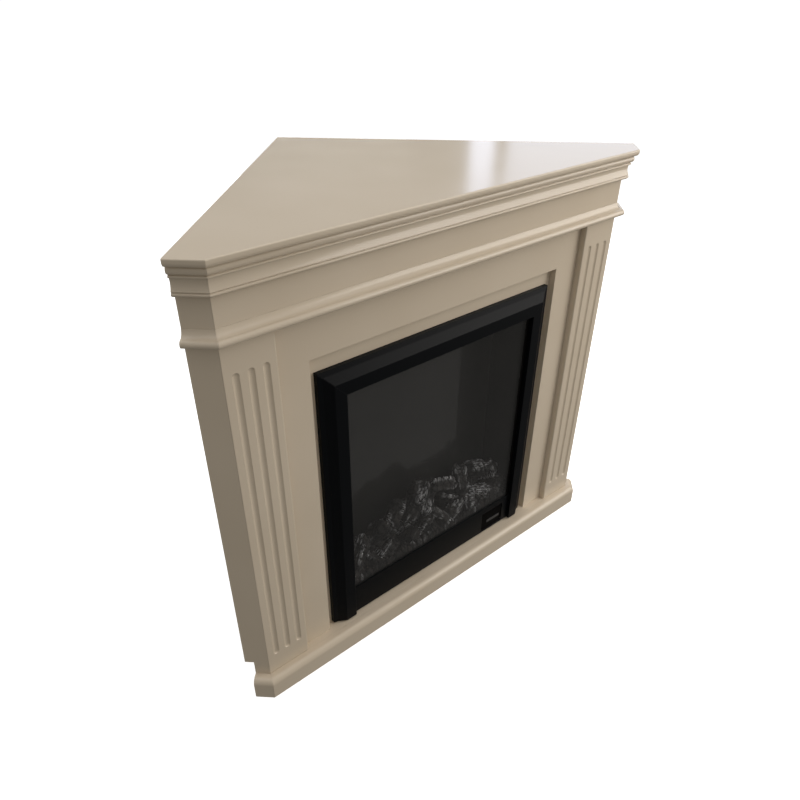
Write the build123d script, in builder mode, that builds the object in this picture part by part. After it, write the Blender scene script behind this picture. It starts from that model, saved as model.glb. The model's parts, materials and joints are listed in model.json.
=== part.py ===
"""Corner mantel with an electric fireplace insert.

Millimetres, +Z up, X to the right, -Y towards the room.
The origin is on the floor, at the middle of the box round the whole object.
The mantel stands in a corner, so its plan has five sides: a straight front, two short
returns at 45 degrees to it, and two long wall sides that meet square at the back.
"""
from build123d import *
from math import cos, pi, radians, sin, sqrt, tan
import os

# ---------------------------------------------------------------- overall sizes
height = 1000.0  # floor to the top of the shelf
front_width = 1057.0  # straight front, from return corner to return corner
return_width = 53.0  # each return, from its front corner back to the wall

# ---------------------------------------------------------------- mantel sizes
board = 16.0  # thickness of the painted boards
shelf_thickness = 14.0
shelf_overhang = 26.5  # shelf edge past the front and return faces
crown_height = 49.0
frieze_height = 137.5  # plain board between pilasters and shelf
pilaster_width = 105.0
flute_width = 14.0
flute_depth = 3.5
flute_pitch = 29.5
flute_end = 50.0  # left plain above and below each flute
pilaster_edge = 3.0  # rounding of the pilaster's inner front edge
plinth_height = 53.0
plinth_overhang = 24.0
plinth_round = 14.0
deck_thickness = 18.0
skirting_depth = 20.0  # room left at the walls for a skirting board
skirting_height = 89.0
rail_height = 80.0
post_side = 40.0
opening_gap = 17.0  # between the insert's trim and the surround stiles
opening_head = 36.5  # between the insert's trim and the surround rail
slip_lap = 30.0  # slips reach this far behind the surround
rail_lap = 40.0  # surround rail reaches this far up behind the frieze
wall_hole_radius = 2.5
wall_hole_inset = 120.0

# ---------------------------------------------------------------- insert sizes
trim_half = 333.0  # half of the outer width of the black trim
trim_top_z = 726.0
trim_foot_z = 58.0
sheet = 2.0  # steel sheet
trim_lap = 15.0  # trim bears on the slips this far outside the housing
trim_flat = 10.5  # narrow outer flat of the trim
trim_ridge = 29.0  # from the outer edge in to the ridge
trim_width = 57.4  # from the outer edge in to the lip round the glass
ridge_y = 6.8
flange_y = 18.7
edge_y = 21.5
bezel_y = 15.0
bezel_top_z = 138.0
glass_thickness = 4.0
glass_y = bezel_y + sheet
glass_lap = 14.0  # glass behind the trim lip, each side
glass_top_z = 680.0
window_lap = 2.5  # face plate shows this much inside the trim lip
housing_gap = 2.0  # between housing and slips
housing_back_y = 216.0
divider_z = 674.0  # floor of the heater compartment
screen_y = 118.0
screen_thickness = 3.0
ember_z = 150.0  # top of the ember bed
ember_thickness = 14.0
cheek_in = 48.0  # side linings of the fire chamber lean in this much by the screen

# ---------------------------------------------------------------- controls
door_left = 170.0
door_width = 80.0
door_foot_z = 62.0
door_height = 60.0
door_gap = 2.5  # round the door's sides and top
door_recess = 1.0  # door face behind the bezel face
door_sweep = 1.2  # gap under the door, for its foot to swing through
hinge_radius = 3.0
pin_radius = 1.15
run_gap = 0.05  # radial clearance of a running fit
body_gap = 0.3  # between faces of pieces that move past each other
panel_y = 40.0
button_radius = 5.0
knob_radius = 11.0
rocker_width = 12.0
rocker_height = 20.0

# ---------------------------------------------------------------- places worked out once
half = front_width / 2
step = return_width / sqrt(2)
apex = half + 2 * step  # front plane to the corner of the room
front = -(apex + shelf_overhang) / 2 + shelf_overhang  # y of the pilaster faces
shelf_z = height - shelf_thickness
pilaster_z = shelf_z - frieze_height
slip_y = 2 * board  # front face of the slips, behind the pilaster faces
wall_run = (half + step) * sqrt(2)  # length of each wall side of the carcass
housing_half = trim_half - trim_lap
housing_top_z = trim_top_z - trim_lap
opening_half = trim_half + opening_gap
opening_top = trim_top_z + opening_head
cut_half = housing_half + housing_gap
cut_top = housing_top_z + housing_gap
lip_half = trim_half - trim_width
lip_z = trim_top_z - trim_width
plate_y = glass_y + glass_thickness
shell_y = plate_y + sheet
housing_foot_z = trim_foot_z + sheet
base_z = housing_foot_z + sheet
door_right = door_left + door_width
door_top_z = door_foot_z + door_height
hinge_y = bezel_y + sheet + 1
hinge_z = door_foot_z + hinge_radius + 1

mitre_left = Plane(origin=(-half, front, 0), x_dir=(0, 0, 1), z_dir=(-cos(pi / 8), sin(pi / 8), 0))
mitre_right = Plane(origin=(half, front, 0), x_dir=(0, 0, 1), z_dir=(cos(pi / 8), sin(pi / 8), 0))
front_plane = Plane(origin=(0, front, 0), x_dir=(1, 0, 0), z_dir=(0, -1, 0))
run_plane = Plane(origin=(0, front, 0), x_dir=(0, -1, 0), z_dir=(-1, 0, 0))
return_plane = Plane(origin=(-half, front, 0), x_dir=(-1, -1, 0), z_dir=(-1, 1, 0))
wall_plane = Plane(origin=(0, front + apex, 0), x_dir=(-1, -1, 0), z_dir=(-1, 1, 0))

os.makedirs("parts", exist_ok=True)


def save(piece, name):
    """Label a finished piece and write its STEP file."""
    piece.part.label = name
    export_step(piece.part, f"parts/{name}.step")


def plan(front_out, return_out, wall_in):
    """Corners of the five-sided plan, its front and returns moved out, its wall sides moved in."""
    reach = half + return_out * sqrt(2)
    back = apex - wall_in * sqrt(2)
    corner = reach - front_out
    side_x = (reach + back) / 2
    side_y = front + (back - reach) / 2
    return [
        (-corner, front - front_out),
        (corner, front - front_out),
        (side_x, side_y),
        (0, front + back),
        (-side_x, side_y),
    ]


def slab(low, high):
    """Plain block between two opposite corners, for the builder that is open."""
    size = [b - a for a, b in zip(low, high)]
    middle = [(a + b) / 2 for a, b in zip(low, high)]
    with Locations(tuple(middle)):
        Box(*size)


def rod(start, direction, radius, length, mode=Mode.ADD):
    """Round bar or hole from a point along a direction, for the builder that is open."""
    with Locations(Plane(origin=start, z_dir=direction)):
        Cylinder(radius, length, align=(Align.CENTER, Align.CENTER, Align.MIN), mode=mode)


def front_run(section):
    """A section run along the whole front and mitred at both corners."""
    with BuildPart() as piece:
        with BuildSketch(run_plane):
            add(section)
        extrude(amount=half + shelf_overhang, both=True)
        split(bisect_by=mitre_left, keep=Keep.BOTTOM)
        split(bisect_by=mitre_right, keep=Keep.BOTTOM)
    return piece


def return_run(section, length):
    """The same section run back along the left return, mitred to the front run."""
    with BuildPart() as piece:
        with BuildSketch(return_plane.offset(-shelf_overhang)):
            add(section)
        extrude(amount=length + shelf_overhang)
        split(bisect_by=mitre_left, keep=Keep.TOP)
    return piece


def mirrored(piece):
    """The right-hand twin of a left-hand piece."""
    with BuildPart() as twin:
        mirror(piece.part, about=Plane.YZ)
    return twin


def save_moulding(section, name, return_length):
    """Write one moulding as a front piece and two returns."""
    left = return_run(section, return_length)
    save(front_run(section), f"{name}_front")
    save(left, f"{name}_left")
    save(mirrored(left), f"{name}_right")


# ================================================================ mantel
with BuildPart() as mantel_shelf:
    with BuildSketch(Plane.XY.offset(shelf_z)):
        Polygon(*plan(shelf_overhang, shelf_overhang, 0), align=None)
    extrude(amount=shelf_thickness)
    fillet(mantel_shelf.edges().group_by(Axis.Z)[0].sort_by(Axis.Y)[:3], radius=8)
    fillet(mantel_shelf.edges().group_by(Axis.Z)[-1].sort_by(Axis.Y)[:3], radius=2.5)
save(mantel_shelf, "mantel_shelf")

# Crown section, drawn as distance out from the face and height: torus, fine bead, cove, foot bead.
crown_foot = shelf_z - crown_height
with BuildSketch() as crown_section:
    with BuildLine():
        Polyline((0, crown_foot), (0, shelf_z), (14.5, shelf_z))
        ThreePointArc((14.5, shelf_z), (18.7, shelf_z - 7.5), (13.5, shelf_z - 13.5))
        Polyline((13.5, shelf_z - 13.5), (11.6, shelf_z - 14.4), (11.6, shelf_z - 15.2))
        ThreePointArc((11.6, shelf_z - 15.2), (13.8, shelf_z - 17.4), (11.6, shelf_z - 19.6))
        Polyline((11.6, shelf_z - 19.6), (9.2, shelf_z - 20.2), (9, shelf_z - 22))
        ThreePointArc((9, shelf_z - 22), (9.4, shelf_z - 33.5), (12.6, shelf_z - 40.4))
        Polyline((12.6, shelf_z - 40.4), (12.6, shelf_z - 41), (11, shelf_z - 42), (11, shelf_z - 42.6))
        ThreePointArc((11, shelf_z - 42.6), (13.6, shelf_z - 45.2), (11, shelf_z - 47.8))
        Polyline((11, shelf_z - 47.8), (10.4, crown_foot), (0, crown_foot))
    make_face()
save_moulding(crown_section.sketch, "crown", return_width)

# Bead section at the top of the pilasters: small cove below, round nose, long soft cove above.
with BuildSketch() as bead_section:
    with BuildLine():
        Polyline((0.6, pilaster_z + 34), (0, pilaster_z + 34), (0, pilaster_z), (1.5, pilaster_z))
        ThreePointArc((1.5, pilaster_z), (5.5, pilaster_z + 4.6), (11.9, pilaster_z + 6.5))
        ThreePointArc((11.9, pilaster_z + 6.5), (19, pilaster_z + 14), (11.5, pilaster_z + 20))
        ThreePointArc((11.5, pilaster_z + 20), (3.65, pilaster_z + 25.13), (0.6, pilaster_z + 34))
    make_face()
save_moulding(bead_section.sketch, "bead", return_width)

# Plinth section: a plain block with its top front edge rounded.
with BuildSketch() as plinth_section:
    with BuildLine():
        Polyline(
            (0, plinth_height),
            (0, 0),
            (plinth_overhang, 0),
            (plinth_overhang, plinth_height - plinth_round),
        )
        RadiusArc(
            (plinth_overhang, plinth_height - plinth_round),
            (plinth_overhang - plinth_round, plinth_height),
            -plinth_round,
        )
        Line((plinth_overhang - plinth_round, plinth_height), (0, plinth_height))
    make_face()
save_moulding(plinth_section.sketch, "plinth", return_width - skirting_depth)

with BuildSketch() as frieze_section:
    with Locations((-board / 2, (pilaster_z + shelf_z) / 2)):
        Rectangle(board, frieze_height)
save(front_run(frieze_section.sketch), "frieze_board")

# Return panels stand on the floor, notched at the lower back for the skirting board.
with BuildSketch() as return_section:
    with Locations((-board / 2, shelf_z / 2)):
        Rectangle(board, shelf_z)
side_panel_left = return_run(return_section.sketch, return_width)
with BuildPart() as side_panel_left_notched:
    add(side_panel_left.part)
    with BuildSketch(return_plane.offset(return_width - skirting_depth)):
        with Locations((-board / 2, skirting_height / 2)):
            Rectangle(2 * board, skirting_height)
    extrude(amount=2 * skirting_depth, mode=Mode.SUBTRACT)
save(side_panel_left_notched, "side_panel_left")
save(mirrored(side_panel_left_notched), "side_panel_right")

pilaster_tall = pilaster_z - plinth_height

# A flute is the track of a ball-nosed cutter: an arc in section, with a round end.
flute_radius = (flute_width**2 / 4 + flute_depth**2) / (2 * flute_depth)
flute_run = pilaster_tall - 2 * flute_end - flute_width
with BuildPart() as flute_cutter:
    with BuildSketch(Plane.XZ):
        with BuildLine():
            CenterArc((0, -flute_run / 2), flute_radius, -90, 90)
            Line((flute_radius, -flute_run / 2), (flute_radius, flute_run / 2))
            CenterArc((0, flute_run / 2), flute_radius, 0, 90)
            Line((0, flute_run / 2 + flute_radius), (0, -flute_run / 2 - flute_radius))
        make_face()
    revolve(axis=Axis.Z)

flute_y = front + flute_depth - flute_radius
flute_z = plinth_height + pilaster_tall / 2
flute_spots = [(pilaster_width / 2 - half + step * flute_pitch, flute_y, flute_z) for step in (-1, 0, 1)]
with BuildPart() as pilaster_left:
    slab((-half - board, front, plinth_height), (pilaster_width - half, front + board, pilaster_z))
    split(bisect_by=mitre_left, keep=Keep.BOTTOM)
    inner_edges = pilaster_left.edges().filter_by(Axis.Z).sort_by(Axis.X)[-2:]
    fillet(inner_edges.sort_by(Axis.Y)[0], radius=pilaster_edge)
    with Locations(*flute_spots):
        add(flute_cutter.part, mode=Mode.SUBTRACT)
save(pilaster_left, "pilaster_left")
save(mirrored(pilaster_left), "pilaster_right")

# Surround boards behind the pilasters, and slips behind those that carry the insert.
inner_half = half - board * tan(pi / 8)
screw_x = opening_half + slip_lap / 2
side_screws = [(x, z) for x in (-screw_x, screw_x) for z in (120, 405, 690)]
top_screws = [(x, opening_top + slip_lap / 2) for x in (-200, 0, 200)]
screw_radius = 2.0
screw_depth = 26.0


def screw_holes(spots, low_y, high_y):
    """Clearance holes for the slip screws between two depths behind the front plane."""
    for x, z in spots:
        rod((x, front + low_y, z), (0, 1, 0), screw_radius + run_gap, high_y - low_y, Mode.SUBTRACT)


screw_tip_y = slip_y + board - screw_depth
with BuildPart() as surround_stile_left:
    slab((-inner_half, front + board, plinth_height), (-opening_half, front + slip_y, opening_top))
    screw_holes(side_screws[:3], screw_tip_y, slip_y)
save(surround_stile_left, "surround_stile_left")
save(mirrored(surround_stile_left), "surround_stile_right")

with BuildPart() as surround_rail:
    slab((-inner_half, front + board, opening_top), (inner_half, front + slip_y, pilaster_z + rail_lap))
    screw_holes(top_screws, screw_tip_y, slip_y)
save(surround_rail, "surround_rail")

slip_half = opening_half + slip_lap
with BuildPart() as slip_left:
    slab((-slip_half, front + slip_y, plinth_height), (-cut_half, front + slip_y + board, cut_top))
    screw_holes(side_screws[:3], slip_y, slip_y + board)
save(slip_left, "slip_left")
save(mirrored(slip_left), "slip_right")

with BuildPart() as slip_top:
    slab((-slip_half, front + slip_y, cut_top), (slip_half, front + slip_y + board, opening_top + slip_lap))
    screw_holes(top_screws, slip_y, slip_y + board)
save(slip_top, "slip_top")

with BuildPart() as slip_screws:
    for x, z in side_screws + top_screws:
        rod((x, front + slip_y + board, z), (0, -1, 0), screw_radius, screw_depth)
        rod((x, front + slip_y + board, z), (0, 1, 0), 2 * screw_radius, 2.4)
save(slip_screws, "slip_screws")

with BuildPart() as base_deck:
    with BuildSketch(Plane.XY.offset(plinth_height - deck_thickness)):
        Polygon(*plan(0, -board, skirting_depth), align=None)
    extrude(amount=deck_thickness)
save(base_deck, "base_deck")

foot_side = 60.0
foot_spots = [(-300, front + 60), (300, front + 60), (0, front + apex - skirting_depth * sqrt(2) - 120)]
with BuildPart() as deck_feet:
    with BuildSketch():
        with Locations(foot_spots):
            Rectangle(foot_side, foot_side)
    extrude(amount=plinth_height - deck_thickness)
save(deck_feet, "deck_feet")

with BuildPart() as corner_post:
    with BuildSketch(Plane.XY.offset(plinth_height)):
        with Locations((0, front + apex - (skirting_depth + post_side / 2) * sqrt(2))):
            Rectangle(post_side, post_side, rotation=45)
    extrude(amount=shelf_z - plinth_height)
save(corner_post, "corner_post")


def back_rail(start):
    """Rail under the shelf along the left wall, as thick as the skirting, with two wall-screw holes."""
    end = wall_run - board
    with BuildPart() as piece:
        with BuildSketch(wall_plane):
            with Locations(((start + end) / 2, shelf_z - rail_height / 2)):
                Rectangle(end - start, rail_height)
            with Locations(
                (skirting_depth + wall_hole_inset, shelf_z - rail_height / 2),
                (end - wall_hole_inset, shelf_z - rail_height / 2),
            ):
                Circle(wall_hole_radius, mode=Mode.SUBTRACT)
        extrude(amount=-skirting_depth)
    return piece


save(back_rail(0), "back_rail_left")
save(mirrored(back_rail(skirting_depth)), "back_rail_right")


# ================================================================ trim and glass
def trim_section(lip_back):
    """Folded sheet section of the trim: distance in from its outer edge, and depth behind the front."""
    with BuildSketch() as section:
        with BuildLine():
            Polyline(
                (trim_lap, slip_y),
                (0, slip_y),
                (0, edge_y),
                (trim_flat, flange_y),
                (trim_ridge, ridge_y),
                (trim_width, ridge_y),
                (trim_width, lip_back),
            )
            offset(amount=sheet, side=Side.LEFT, kind=Kind.INTERSECTION)
        make_face()
    return section.sketch


corner_left = Plane(origin=(-trim_half, front, trim_top_z), x_dir=(0, 1, 0), z_dir=(1, 0, 1))
corner_right = Plane(origin=(trim_half, front, trim_top_z), x_dir=(0, 1, 0), z_dir=(-1, 0, 1))

with BuildPart() as trim_left:
    with BuildSketch(Plane(origin=(-trim_half, front, trim_foot_z), x_dir=(1, 0, 0), z_dir=(0, 0, 1))):
        add(trim_section(glass_y))
    extrude(amount=trim_top_z - trim_foot_z)
    split(bisect_by=corner_left, keep=Keep.BOTTOM)
save(trim_left, "trim_left")
save(mirrored(trim_left), "trim_right")

outlet_front = ridge_y + sheet
with BuildPart() as trim_top:
    with BuildSketch(Plane(origin=(0, front, trim_top_z), x_dir=(0, 0, -1), z_dir=(1, 0, 0))):
        add(trim_section(outlet_front))
    extrude(amount=trim_half, both=True)
    split(bisect_by=corner_left, keep=Keep.TOP)
    split(bisect_by=corner_right, keep=Keep.TOP)
save(trim_top, "trim_top")

slot_half = lip_half - 16
with BuildPart() as outlet_grille:
    slab((-lip_half, front + outlet_front, lip_z), (lip_half, front + glass_y, lip_z + sheet))
    with BuildSketch(Plane.XY.offset(lip_z)):
        with Locations((0, front + (outlet_front + glass_y) / 2)):
            with GridLocations(20, 1, int(slot_half / 10) - 1, 1):
                SlotOverall(15, 4)
    extrude(amount=sheet, mode=Mode.SUBTRACT)
save(outlet_grille, "outlet_grille")

with BuildPart() as glass_pane:
    glass_half = lip_half + glass_lap
    slab((-glass_half, front + glass_y, bezel_top_z), (glass_half, front + plate_y, glass_top_z))
save(glass_pane, "glass_pane")

window_half = lip_half - window_lap
slot_foot_z = glass_top_z + 4
slot_top_z = housing_top_z - 2 * sheet
with BuildPart() as face_plate:
    slab((-housing_half, front + plate_y, housing_foot_z), (housing_half, front + shell_y, housing_top_z))
    with BuildSketch(front_plane.offset(-plate_y)):
        with Locations((0, (bezel_top_z + lip_z) / 2)):
            Rectangle(2 * window_half, lip_z - bezel_top_z)
        with Locations((0, (slot_foot_z + slot_top_z) / 2)):
            Rectangle(2 * slot_half - 220, slot_top_z - slot_foot_z)
        with Locations(((door_left + door_right) / 2, (base_z + door_top_z + 4) / 2)):
            Rectangle(door_width + 12, door_top_z + 4 - base_z)
    extrude(amount=-sheet, mode=Mode.SUBTRACT)
save(face_plate, "face_plate")

# Bezel under the glass: a shallow pan with the control door's opening and two hinge ears.
ear = 8.0
with BuildPart() as lower_bezel:
    slab((-lip_half, front + bezel_y, trim_foot_z), (lip_half, front + glass_y, bezel_top_z))
    slab((-lip_half, front + glass_y, bezel_top_z - sheet), (lip_half, front + plate_y, bezel_top_z))
    slab((-lip_half, front + glass_y, trim_foot_z), (lip_half, front + panel_y, trim_foot_z + sheet))
    for side in (-lip_half, lip_half - sheet):
        slab((side, front + glass_y, trim_foot_z), (side + sheet, front + plate_y, bezel_top_z))
    with BuildSketch(front_plane.offset(-bezel_y)):
        with Locations(((door_left + door_right) / 2, (door_foot_z + door_top_z) / 2)):
            Rectangle(door_width, door_height)
    extrude(amount=-sheet, mode=Mode.SUBTRACT)
    for side in (door_left - sheet, door_right):
        slab(
            (side, front + glass_y, trim_foot_z),
            (side + sheet, front + glass_y + ear / 2, hinge_z + ear / 2),
        )
    rod(
        (door_left - 2 * sheet, front + hinge_y, hinge_z),
        (1, 0, 0),
        pin_radius,
        door_width + 4 * sheet,
        Mode.SUBTRACT,
    )
save(lower_bezel, "lower_bezel")

with BuildPart() as door_pin:
    rod((door_left - sheet, front + hinge_y, hinge_z), (1, 0, 0), pin_radius, door_width + 2 * sheet)
save(door_pin, "door_pin")

# Door: plate, rolled knuckle along its foot and a plain raised bar on its face.
door_y = bezel_y + door_recess
with BuildPart() as control_door:
    slab(
        (door_left + door_gap, front + door_y, door_foot_z + door_sweep),
        (door_right - door_gap, front + door_y + sheet, door_top_z - door_gap),
    )
    slab(
        (door_left + 16, front + door_y - 0.8, door_foot_z + 20),
        (door_right - 6, front + door_y, door_foot_z + 32),
    )
    rod((door_left + door_gap, front + hinge_y, hinge_z), (1, 0, 0), hinge_radius, door_width - 2 * door_gap)
    rod(
        (door_left, front + hinge_y, hinge_z),
        (1, 0, 0),
        pin_radius + run_gap,
        door_width,
        Mode.SUBTRACT,
    )
save(control_door, "control_door")

# ================================================================ housing
inside_half = housing_half - sheet
inside_back = housing_back_y - sheet
ceiling_z = housing_top_z - sheet
rotor_y = 160.0
rotor_z = 150.0
rotor_radius = 3.0
boss_length = 20.0
motor_face = inside_half - 62

with BuildPart() as housing_base:
    slab((-housing_half, front + shell_y, housing_foot_z), (housing_half, front + housing_back_y, base_z))
    for side in (-housing_half, housing_half - 18):
        slab((side, front + panel_y + 2, plinth_height), (side + 18, front + inside_back, housing_foot_z))
save(housing_base, "housing_base")



def chamber_lining(side):
    """Sheet that leans in from a housing side to the flame screen, for the builder that is open."""
    fold = sheet * sqrt(1 + ((screen_y - shell_y) / cheek_in) ** 2)
    with BuildPart() as lining:
        with BuildSketch(Plane.XY.offset(ember_z)):
            Polygon(
                (side * inside_half, front + shell_y),
                (side * inside_half, front + shell_y + fold),
                (side * (inside_half - cheek_in + fold * cheek_in / (screen_y - shell_y)), front + screen_y),
                (side * (inside_half - cheek_in), front + screen_y),
                align=None,
            )
        extrude(amount=divider_z - ember_z)
    return lining.part


with BuildPart() as housing_right:
    slab((inside_half, front + shell_y, base_z), (housing_half, front + housing_back_y, ceiling_z))
    add(chamber_lining(1))
save(housing_right, "housing_right")

with BuildPart() as housing_left:
    slab((-housing_half, front + shell_y, base_z), (-inside_half, front + housing_back_y, ceiling_z))
    add(chamber_lining(-1))
    rod((-inside_half, front + rotor_y, rotor_z), (1, 0, 0), 8, boss_length)
    bore_radius = rotor_radius + run_gap
    rod((-inside_half, front + rotor_y, rotor_z), (1, 0, 0), bore_radius, boss_length, Mode.SUBTRACT)
save(housing_left, "housing_left")

with BuildPart() as housing_top:
    slab((-housing_half, front + shell_y, ceiling_z), (housing_half, front + housing_back_y, housing_top_z))
save(housing_top, "housing_top")

with BuildPart() as housing_back:
    slab((-inside_half, front + inside_back, base_z), (inside_half, front + housing_back_y, ceiling_z))
    with BuildSketch(front_plane.offset(-inside_back)):
        with Locations((0, (divider_z + ceiling_z) / 2)):
            with GridLocations(14, 1, 21, 1):
                SlotOverall(26, 6, rotation=90)
        with Locations((0, 100)):
            with GridLocations(14, 1, 15, 1):
                SlotOverall(30, 6, rotation=90)
    extrude(amount=-sheet, mode=Mode.SUBTRACT)
save(housing_back, "housing_back")

with BuildPart() as air_divider:
    slab((-inside_half, front + shell_y, divider_z), (inside_half, front + inside_back, divider_z + sheet))
save(air_divider, "air_divider")

# ================================================================ flame picture
with BuildPart() as flame_screen:
    slab(
        (-inside_half, front + screen_y, base_z),
        (inside_half, front + screen_y + screen_thickness, divider_z),
    )
save(flame_screen, "flame_screen")

ember_foot = ember_z - ember_thickness
with BuildPart() as ember_bed:
    slab((-inside_half, front + shell_y, ember_foot), (inside_half, front + screen_y, ember_z))
    fillet(ember_bed.edges().group_by(Axis.Z)[-1].sort_by(Axis.Y)[:1], radius=10)
    for side in (-inside_half, inside_half - 12):
        slab((side, front + shell_y, base_z), (side + 12, front + screen_y, ember_foot))
save(ember_bed, "ember_bed")

# Logs as (x, depth, height, turn, slope, length, radius), bedded in one moulded sole.
logs = [
    (-130, 82, 178, 3, 0, 250, 24),
    (160, 83, 176, -4, 0, 206, 23),
    (-180, 54, 171, -6, 0, 200, 20),
    (70, 54, 169, 5, 0, 230, 18),
    (10, 78, 212, 9, 4, 250, 19),
]
sole = 6.0
sole_half = inside_half - cheek_in - 4
with BuildPart() as log_set:
    slab((-sole_half, front + 30, ember_z), (sole_half, front + screen_y - 2, ember_z + sole))
    for x, depth, z, turn, slope, length, radius in logs:
        along = (
            cos(radians(turn)) * cos(radians(slope)),
            sin(radians(turn)) * cos(radians(slope)),
            sin(radians(slope)),
        )
        with BuildSketch(Plane(origin=(x, front + depth, z), z_dir=along)):
            Circle(radius)
        extrude(amount=length / 2, both=True)
save(log_set, "log_set")

# LED board under the embers: an angle with its lamps in a row.
led_left = -260.0
led_right = 130.0
with BuildPart() as led_board:
    slab((led_left, front + 60, base_z), (led_right, front + 80, base_z + sheet))
    slab((led_left, front + 60, base_z), (led_right, front + 60 + sheet, 104))
    with Locations(((led_left + led_right) / 2, front + 60, 96)):
        with GridLocations(30, 1, 13, 1):
            Box(5, 2.4, 5)
save(led_board, "led_board")

# Rotor: a rod with short reflector blades, each turned on from the one before.
rotor_left = -inside_half + 2
rotor_length = motor_face + 8 - rotor_left
blade_count = 16
blade_pitch = 30.0
with BuildPart() as flame_rotor:
    rod((rotor_left, front + rotor_y, rotor_z), (1, 0, 0), rotor_radius, rotor_length)
    for index in range(blade_count):
        turn = index * 180 / 5
        x = (index - (blade_count - 1) / 2) * blade_pitch - 20
        with Locations(Location((x, front + rotor_y, rotor_z), (turn, 0, 0))):
            Box(18, 64, 1.2)
save(flame_rotor, "flame_rotor")

with BuildPart() as rotor_motor:
    rod((motor_face, front + rotor_y, rotor_z), (1, 0, 0), 24, inside_half - motor_face)
    rod((motor_face, front + rotor_y, rotor_z), (1, 0, 0), rotor_radius + run_gap, 12, Mode.SUBTRACT)
save(rotor_motor, "rotor_motor")

# ================================================================ heater
duct_half = 160.0
wheel_half = 150.0
wheel_radius = 15.0
wheel_y = 165.0
wheel_z = (divider_z + sheet + ceiling_z) / 2
duct_back = 205.0
shaft_radius = 2.5
duct_foot = divider_z + sheet

with BuildPart() as blower_duct:
    for side in (-duct_half - sheet, duct_half):
        slab((side, front + shell_y, duct_foot), (side + sheet, front + duct_back, ceiling_z))
    with BuildSketch(Plane.XY.offset(duct_foot)):
        with Locations((0, front + duct_back - sheet / 2)):
            Rectangle(2 * duct_half, sheet)
    extrude(amount=8)
    shaft_start = (-duct_half - 2 * sheet, front + wheel_y, wheel_z)
    rod(shaft_start, (1, 0, 0), shaft_radius + run_gap, 2 * duct_half + 4 * sheet, Mode.SUBTRACT)
save(blower_duct, "blower_duct")

with BuildPart() as blower_wheel:
    shaft_length = 2 * duct_half + 2 * sheet + 12
    rod((-duct_half - sheet, front + wheel_y, wheel_z), (1, 0, 0), shaft_radius, shaft_length)
    for side in (-wheel_half, 0, wheel_half - sheet):
        rod((side, front + wheel_y, wheel_z), (1, 0, 0), wheel_radius, sheet)
    for index in range(16):
        turn = index * 360 / 16
        centre_y = front + wheel_y + (wheel_radius - 2.6) * cos(radians(turn))
        centre_z = wheel_z + (wheel_radius - 2.6) * sin(radians(turn))
        with Locations(Location((0, centre_y, centre_z), (turn + 35, 0, 0))):
            Box(2 * wheel_half, 4, 0.8)
save(blower_wheel, "blower_wheel")

with BuildPart() as blower_motor:
    motor_start = (duct_half + sheet, front + wheel_y, wheel_z)
    rod(motor_start, (1, 0, 0), 16, 44)
    rod(motor_start, (1, 0, 0), shaft_radius + run_gap, 16, Mode.SUBTRACT)
    slab(
        (duct_half + sheet, front + wheel_y - 12, duct_foot),
        (duct_half + sheet + 30, front + wheel_y + 12, wheel_z - 14),
    )
save(blower_motor, "blower_motor")

heater_y = 96.0
with BuildPart() as heater_element:
    for z in (duct_foot, ceiling_z - 4):
        slab((-duct_half, front + heater_y, z), (duct_half, front + heater_y + 12, z + 4))
    for x in range(-156, 157, 6):
        slab((x - 0.6, front + heater_y + 1, duct_foot + 4), (x + 0.6, front + heater_y + 11, ceiling_z - 4))
save(heater_element, "heater_element")

# ================================================================ controls
panel_left = door_left - 8
panel_right = door_right + 8
panel_top = door_top_z + 8
board_y = 50.0
button_x = door_left + 0.475 * door_width
rocker_x = door_left + 0.17 * door_width
knob_x = door_right - 0.18 * door_width
control_z = hinge_z + 30
flame_z = control_z + 13
heat_z = control_z - 13
rocker_y = panel_y + sheet

with BuildPart() as control_panel:
    slab((panel_left, front + panel_y, base_z), (panel_right, front + panel_y + sheet, panel_top))
    slab((panel_left, front + panel_y, base_z), (panel_right, front + panel_y + 30, base_z + sheet))
    for z in (flame_z, heat_z):
        rod((button_x, front + panel_y, z), (0, 1, 0), button_radius + run_gap, sheet, Mode.SUBTRACT)
    rod((knob_x, front + panel_y, control_z), (0, 1, 0), rotor_radius + run_gap, sheet, Mode.SUBTRACT)
    with BuildSketch(front_plane.offset(-panel_y)):
        with Locations((rocker_x, control_z)):
            Rectangle(rocker_width + 2 * body_gap, rocker_height + 1.2)
    extrude(amount=-sheet, mode=Mode.SUBTRACT)
    for side in (rocker_x - rocker_width / 2 - body_gap - sheet, rocker_x + rocker_width / 2 + body_gap):
        slab((side, front + rocker_y, control_z - 4), (side + sheet, front + rocker_y + 6, control_z + 4))
    rod(
        (rocker_x - rocker_width, front + rocker_y + 2, control_z),
        (1, 0, 0),
        1.5 + run_gap,
        2 * rocker_width,
        Mode.SUBTRACT,
    )
    for x in (panel_left + 5, panel_right - 5):
        for z in (base_z + 12, panel_top - 6):
            rod((x, front + panel_y + sheet, z), (0, 1, 0), 2.5, board_y - panel_y - sheet)
save(control_panel, "control_panel")

with BuildPart() as control_board:
    slab((panel_left, front + board_y, base_z + 4), (panel_right, front + board_y + 1.6, panel_top))
    slab((door_left + 6, front + board_y + 1.6, 76), (door_left + 30, front + board_y + 14, 100))
    slab((door_right - 26, front + board_y + 1.6, 80), (door_right - 6, front + board_y + 12, 108))
save(control_board, "control_board")

for name, z in (("flame_button", flame_z), ("heat_button", heat_z)):
    with BuildPart() as button:
        rod((button_x, front + panel_y - 7, z), (0, 1, 0), button_radius, 7 + sheet)
        rod((button_x, front + panel_y + sheet, z), (0, 1, 0), button_radius + 1.5, 1.5)
        fillet(button.edges().sort_by(Axis.Y)[:1], radius=0.8)
    save(button, name)

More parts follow.
